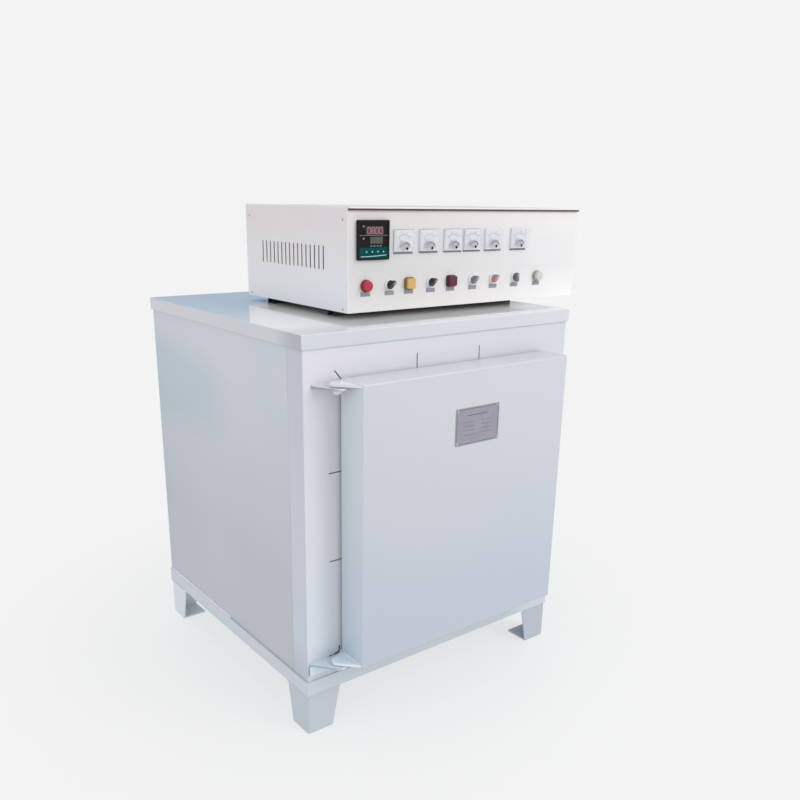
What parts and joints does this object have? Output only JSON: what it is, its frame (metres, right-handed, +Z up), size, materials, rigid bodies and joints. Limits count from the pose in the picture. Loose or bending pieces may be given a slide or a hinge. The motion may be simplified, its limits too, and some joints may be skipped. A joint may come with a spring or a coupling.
{
  "type": "box furnace",
  "caption": "Front-loading box furnace with a hinged insulated door and a separate control box on top.",
  "frame": {"origin": "on the floor, under the middle of the whole outline", "axes": "+X to the right of someone who faces the door, +Y from the door to the rear, +Z up"},
  "size_m": [1.0664, 1.0146, 1.32],
  "materials": {
    "cabinet_paint": "gloss",
    "frame_paint": "satin",
    "door_paint": "gloss",
    "box_paint": "satin",
    "zinc_steel": "satin",
    "bright_metal": "polished",
    "alloy": "satin",
    "fire_brick": "matte",
    "fibre_board": "matte",
    "hearth_slab": "matte",
    "heating_alloy": "matte",
    "porcelain": "satin",
    "seal_rope": "matte",
    "black_plastic": "satin",
    "white_plastic": "gloss",
    "dial_card": "matte",
    "clear_cover": "gloss",
    "red_plastic": "gloss",
    "yellow_plastic": "gloss",
    "dark_red_plastic": "gloss",
    "grey_plastic": "satin",
    "face_plastic": "gloss",
    "iron_core": "matte"
  },
  "bodies": {
    "cabinet": {"base_frame": "frame_paint", "legs": "frame_paint", "side_panels": "cabinet_paint", "bottom_panel": "cabinet_paint", "front_frame": "cabinet_paint", "rear_panel": "cabinet_paint", "top_plate": "cabinet_paint", "insulation_boards": "fibre_board", "lining_slabs": "fire_brick", "lining_side_walls": "fire_brick", "lining_back_wall": "fire_brick", "throat_bricks": "fire_brick", "hearth_plate": "hearth_slab", "heating_strips": "heating_alloy", "element_leads": "heating_alloy", "lead_bushings": "porcelain", "terminal_covers": "cabinet_paint", "probe_sheath": "porcelain", "probe_head": "alloy", "cable_glands": "black_plastic", "hinge_brackets": "frame_paint", "hinge_pins": "zinc_steel", "hinge_nuts": "zinc_steel", "latch_keeper": "zinc_steel", "panel_screws": "zinc_steel", "box_runners": "frame_paint", "box_chassis": "box_paint", "control_panel": "box_paint", "box_cover": "box_paint", "power_transformer": "iron_core", "controller_case": "black_plastic", "controller_face": "face_plastic", "meter_cases": "white_plastic", "meter_dials": "dial_card", "meter_covers": "clear_cover", "meter_hoods": "grey_plastic", "push_button_bodies": "black_plastic", "selector_bodies": "bright_metal"},
    "door": {"door_shell": "door_paint", "door_lining": "fibre_board", "door_seal": "seal_rope", "hinge_ears": "door_paint", "nameplate": "alloy", "nameplate_rivets": "alloy", "latch_base": "zinc_steel"},
    "latch": {"latch_lever": "zinc_steel", "latch_grip": "black_plastic"},
    "red_push_button": {"red_push_button": "red_plastic"},
    "yellow_push_button": {"yellow_push_button": "yellow_plastic"},
    "dark_red_push_button": {"dark_red_push_button": "dark_red_plastic"},
    "white_push_button": {"white_push_button": "white_plastic"},
    "selector_one": {"selector_one": "black_plastic"},
    "selector_two": {"selector_two": "black_plastic"},
    "selector_three": {"selector_three": "grey_plastic"},
    "red_selector": {"red_selector": "red_plastic"},
    "selector_four": {"selector_four": "grey_plastic"},
    "set_key": {"set_key": "grey_plastic"},
    "shift_key": {"shift_key": "grey_plastic"},
    "down_key": {"down_key": "grey_plastic"},
    "up_key": {"up_key": "grey_plastic"}
  },
  "joints": [
    {"name": "door_hinge", "type": "hinge", "parent": "cabinet", "child": "door", "pos_m": [-0.4582, -0.44275, 0.574], "axis": [0, 0, -1], "range_deg": [0, 120]},
    {"name": "latch_turn", "type": "hinge", "parent": "door", "child": "latch", "pos_m": [0.2798, -0.44875, 0.574], "axis": [1, 0, 0], "range_deg": [0, 180]},
    {"name": "red_push_button_press", "type": "slide", "parent": "cabinet", "child": "red_push_button", "axis": [0, 1, 0], "range_m": [0, 0.004], "stiffness_N_per_m": 400},
    {"name": "yellow_push_button_press", "type": "slide", "parent": "cabinet", "child": "yellow_push_button", "axis": [0, 1, 0], "range_m": [0, 0.004], "stiffness_N_per_m": 400},
    {"name": "dark_red_push_button_press", "type": "slide", "parent": "cabinet", "child": "dark_red_push_button", "axis": [0, 1, 0], "range_m": [0, 0.004], "stiffness_N_per_m": 400},
    {"name": "white_push_button_press", "type": "slide", "parent": "cabinet", "child": "white_push_button", "axis": [0, 1, 0], "range_m": [0, 0.004], "stiffness_N_per_m": 400},
    {"name": "selector_one_turn", "type": "hinge", "parent": "cabinet", "child": "selector_one", "pos_m": [-0.1802, -0.27175, 1.13], "axis": [0, 1, 0], "range_deg": [-90, 0]},
    {"name": "selector_two_turn", "type": "hinge", "parent": "cabinet", "child": "selector_two", "pos_m": [-0.0412, -0.27175, 1.13], "axis": [0, 1, 0], "range_deg": [-90, 0]},
    {"name": "selector_three_turn", "type": "hinge", "parent": "cabinet", "child": "selector_three", "pos_m": [0.1108, -0.27175, 1.13], "axis": [0, 1, 0], "range_deg": [-90, 0]},
    {"name": "red_selector_turn", "type": "hinge", "parent": "cabinet", "child": "red_selector", "pos_m": [0.1898, -0.27175, 1.13], "axis": [0, 1, 0], "range_deg": [-90, 0]},
    {"name": "selector_four_turn", "type": "hinge", "parent": "cabinet", "child": "selector_four", "pos_m": [0.2748, -0.27175, 1.13], "axis": [0, 1, 0], "range_deg": [-45, 45]},
    {"name": "set_key_press", "type": "slide", "parent": "cabinet", "child": "set_key", "axis": [0, 1, 0], "range_m": [0, 0.0006], "stiffness_N_per_m": 500},
    {"name": "shift_key_press", "type": "slide", "parent": "cabinet", "child": "shift_key", "axis": [0, 1, 0], "range_m": [0, 0.0006], "stiffness_N_per_m": 500},
    {"name": "down_key_press", "type": "slide", "parent": "cabinet", "child": "down_key", "axis": [0, 1, 0], "range_m": [0, 0.0006], "stiffness_N_per_m": 500},
    {"name": "up_key_press", "type": "slide", "parent": "cabinet", "child": "up_key", "axis": [0, 1, 0], "range_m": [0, 0.0006], "stiffness_N_per_m": 500}
  ]
}
